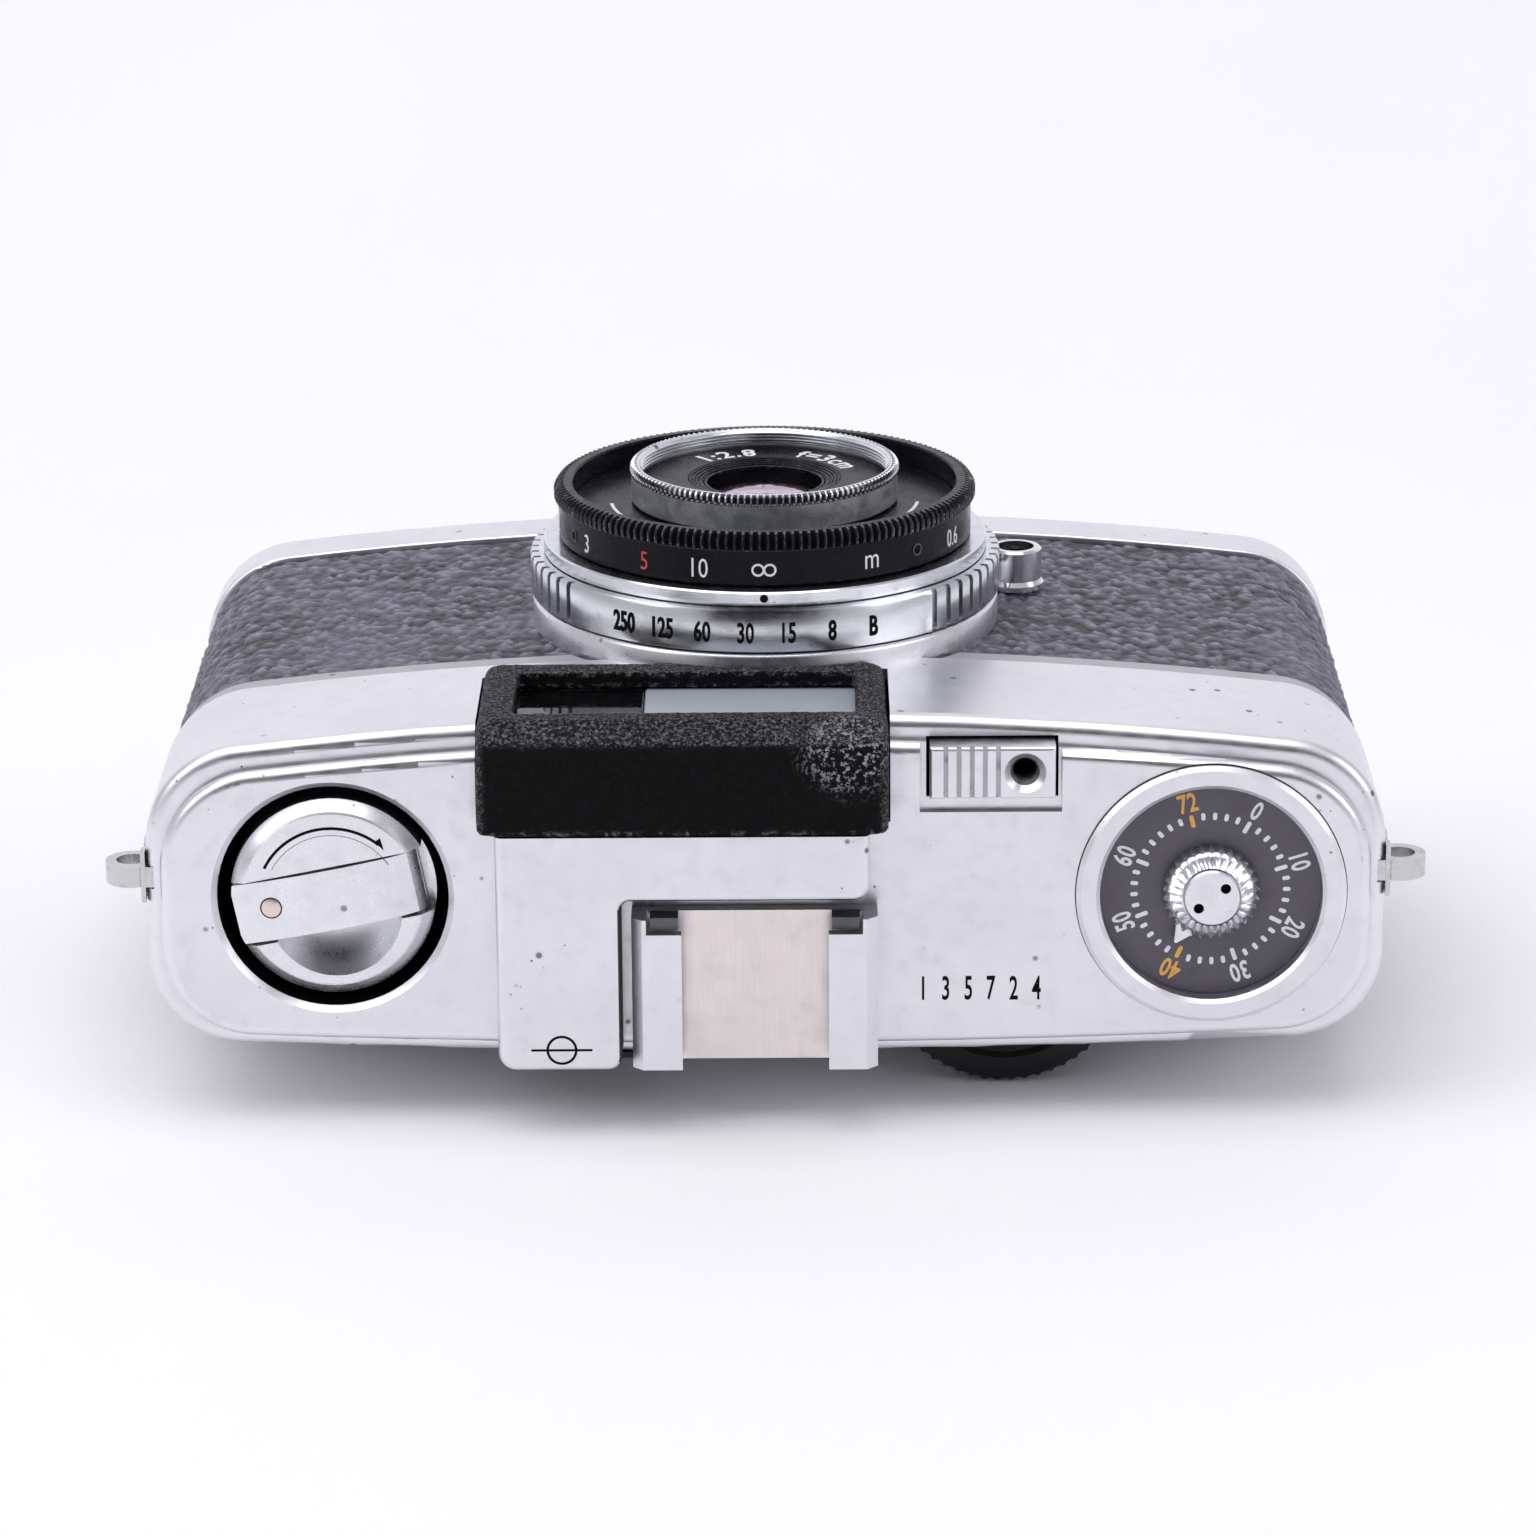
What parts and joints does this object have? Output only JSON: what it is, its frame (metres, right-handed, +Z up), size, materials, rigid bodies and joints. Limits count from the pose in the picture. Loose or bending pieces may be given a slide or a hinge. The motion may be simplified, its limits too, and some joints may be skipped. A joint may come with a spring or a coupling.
{
  "type": "half frame camera",
  "caption": "Compact half frame 35 mm film camera with a fixed lens, a bright frame finder, a folding rewind crank, a thumb wheel advance and a set-by-hand frame counter.",
  "frame": {"origin": "axis of the tripod socket on the plane of the base, at mid depth of the body", "axes": "+Z up through the top plate, the lens looks along -Y, +X to the rewind side"},
  "size_m": [0.1144, 0.05, 0.071],
  "materials": {
    "casting_paint": "grey and black paint on die cast aluminium",
    "satin_chrome": "bead blasted satin silver",
    "bright_chrome": "turned, bright chrome",
    "leatherette": "fine pebble grain covering",
    "wrinkle_paint": "black wrinkle paint",
    "black_paint": "matt black",
    "black_anodised": "semi gloss black",
    "black_plastic": "moulded black",
    "dial_paint": "dark dial with printed scale",
    "clear_glass": "clear",
    "frosted_glass": "ground",
    "coated_glass": "single coated",
    "mirror_glass": "silvered",
    "steel": "plain",
    "spring_alloy": "brushed, warm",
    "gear_brass": "cut gear"
  },
  "bodies": {
    "camera_body": {"body_casting": "casting_paint", "front_leatherette": "leatherette", "top_cover": "satin_chrome", "cover_screws": "steel", "finder_frame": "wrinkle_paint", "finder_window": "clear_glass", "bright_window": "frosted_glass", "finder_bed": "black_plastic", "finder_objective": "clear_glass", "beam_splitter": "clear_glass", "finder_mirror": "mirror_glass", "eyepiece_lens": "clear_glass", "eyepiece_bezel": "black_paint", "accessory_shoe": "satin_chrome", "shoe_screws": "steel", "shoe_spring": "spring_alloy", "counter_bezel": "satin_chrome", "counter_dial": "dial_paint", "strap_lugs": "steel", "sync_socket": "bright_chrome", "sync_contact": "black_plastic", "lens_flange": "satin_chrome", "shutter_case": "black_paint", "index_ring": "bright_chrome"},
    "back": {"back_shell": "satin_chrome", "back_leatherette": "leatherette", "pressure_plate": "black_paint", "pressure_spring": "steel", "tripod_socket": "steel"},
    "lock_key": {"lock_key": "satin_chrome"},
    "lock_bail": {"lock_bail": "bright_chrome"},
    "rewind_button": {"rewind_button": "bright_chrome"},
    "release": {"release_button": "satin_chrome", "release_spring": "steel"},
    "advance_wheel": {"advance_wheel": "black_plastic", "wheel_gear": "gear_brass"},
    "idler_gear": {"idler_gear": "gear_brass"},
    "film_sprocket": {"film_sprocket": "black_paint", "sprocket_gear": "gear_brass"},
    "take_up_spool": {"take_up_spool": "black_plastic", "spool_gear": "gear_brass"},
    "counter": {"counter_knob": "bright_chrome", "counter_cap": "satin_chrome", "counter_ratchet": "steel"},
    "rewind_slide": {"rewind_collar": "gear_brass"},
    "rewind_knob": {"rewind_knob": "satin_chrome", "rewind_fork": "steel"},
    "rewind_crank": {"rewind_crank": "satin_chrome"},
    "speed_ring": {"speed_ring": "bright_chrome"},
    "focus_ring": {"focus_ring": "black_anodised"},
    "lens_barrel": {"lens_barrel": "black_anodised", "name_ring": "black_anodised", "front_element": "coated_glass", "rear_cell": "black_anodised", "rear_element": "coated_glass"},
    "aperture_ring": {"aperture_ring": "bright_chrome"},
    "aperture_blade_a": {"aperture_blade_a": "black_paint"},
    "aperture_blade_b": {"aperture_blade_b": "black_paint"},
    "shutter_blade_a": {"shutter_blade_a": "black_paint"},
    "shutter_blade_b": {"shutter_blade_b": "black_paint"}
  },
  "joints": [
    {"name": "back_slide", "type": "slide", "parent": "camera_body", "child": "back", "axis": [0, 0, -1], "range_m": [0, 0.05]},
    {"name": "lock_turn", "type": "hinge", "parent": "back", "child": "lock_key", "pos_m": [0.0373, 0.0004, 0.002], "axis": [0, 0, 1], "range_deg": [0, 90]},
    {"name": "lock_fold", "type": "hinge", "parent": "lock_key", "child": "lock_bail", "pos_m": [0.0373, 0.00015, 0.0007], "axis": [-1, 0, 0], "range_deg": [0, 90]},
    {"name": "rewind_release", "type": "slide", "parent": "camera_body", "child": "rewind_button", "axis": [0, 0, 1], "range_m": [0, 0.001]},
    {"name": "release_press", "type": "slide", "parent": "camera_body", "child": "release", "axis": [0, 0, -1], "range_m": [0, 0.002], "stiffness_N_per_m": 600, "springref_m": -0.002, "deforming": ["release_spring"]},
    {"name": "advance_turn", "type": "hinge", "parent": "camera_body", "child": "advance_wheel", "pos_m": [-0.021, 0.01, 0.055], "axis": [0, 0, 1], "continuous": true},
    {"name": "idler_turn", "type": "hinge", "parent": "camera_body", "child": "idler_gear", "pos_m": [-0.0244, 0.0021, 0.053], "axis": [0, 0, 1], "continuous": true},
    {"name": "sprocket_turn", "type": "hinge", "parent": "camera_body", "child": "film_sprocket", "pos_m": [-0.018, 0.0069, 0.03], "axis": [0, 0, 1], "continuous": true},
    {"name": "spool_turn", "type": "hinge", "parent": "camera_body", "child": "take_up_spool", "pos_m": [-0.0384, 0.0004, 0.03], "axis": [0, 0, 1], "continuous": true},
    {"name": "counter_turn", "type": "hinge", "parent": "camera_body", "child": "counter", "pos_m": [-0.0384, 0.0004, 0.066], "axis": [0, 0, 1], "continuous": true},
    {"name": "rewind_lift", "type": "slide", "parent": "camera_body", "child": "rewind_slide", "axis": [0, 0, 1], "range_m": [0, 0.0065]},
    {"name": "rewind_turn", "type": "hinge", "parent": "rewind_slide", "child": "rewind_knob", "pos_m": [0.0373, 0.0004, 0.06], "axis": [0, 0, 1], "continuous": true},
    {"name": "crank_fold", "type": "hinge", "parent": "rewind_knob", "child": "rewind_crank", "pos_m": [0.03043, -0.00094, 0.0652], "axis": [0.1918, -0.9814, 0], "range_deg": [0, 100]},
    {"name": "speed_turn", "type": "hinge", "parent": "camera_body", "child": "speed_ring", "pos_m": [0, -0.019, 0.0324], "axis": [0, 1, 0], "range_deg": [-35.7, 27]},
    {"name": "focus_turn", "type": "hinge", "parent": "camera_body", "child": "focus_ring", "pos_m": [0, -0.025, 0.0324], "axis": [0, -1, 0], "range_deg": [0, 296]},
    {"name": "barrel_travel", "type": "slide", "parent": "camera_body", "child": "lens_barrel", "axis": [0, -1, 0], "range_m": [0, 0.0016]},
    {"name": "aperture_turn", "type": "hinge", "parent": "lens_barrel", "child": "aperture_ring", "pos_m": [0, -0.027, 0.0324], "axis": [0, -1, 0], "range_deg": [0, 90]},
    {"name": "aperture_a_travel", "type": "slide", "parent": "lens_barrel", "child": "aperture_blade_a", "axis": [1, 0, 0], "range_m": [0, 0.0048]},
    {"name": "aperture_b_travel", "type": "slide", "parent": "lens_barrel", "child": "aperture_blade_b", "axis": [-1, 0, 0], "range_m": [0, 0.0048]},
    {"name": "shutter_a_swing", "type": "hinge", "parent": "camera_body", "child": "shutter_blade_a", "pos_m": [0, -0.0184, 0.045], "axis": [0, -1, 0], "range_deg": [0, 38.5]},
    {"name": "shutter_b_swing", "type": "hinge", "parent": "camera_body", "child": "shutter_blade_b", "pos_m": [0, -0.0189, 0.0198], "axis": [0, -1, 0], "range_deg": [0, 38.5]}
  ],
  "couplings": [
    {"joint": "idler_turn", "follows": "advance_turn", "ratio": -0.72},
    {"joint": "sprocket_turn", "follows": "advance_turn", "ratio": 1.2},
    {"joint": "spool_turn", "follows": "advance_turn", "ratio": 0.4},
    {"joint": "counter_turn", "follows": "advance_turn", "ratio": -0.029268},
    {"joint": "barrel_travel", "follows": "focus_turn", "m_per_rad": 0.000305},
    {"joint": "aperture_a_travel", "follows": "aperture_turn", "m_per_rad": 0.003},
    {"joint": "aperture_b_travel", "follows": "aperture_turn", "m_per_rad": 0.003},
    {"joint": "shutter_b_swing", "follows": "shutter_a_swing", "ratio": 1}
  ]
}
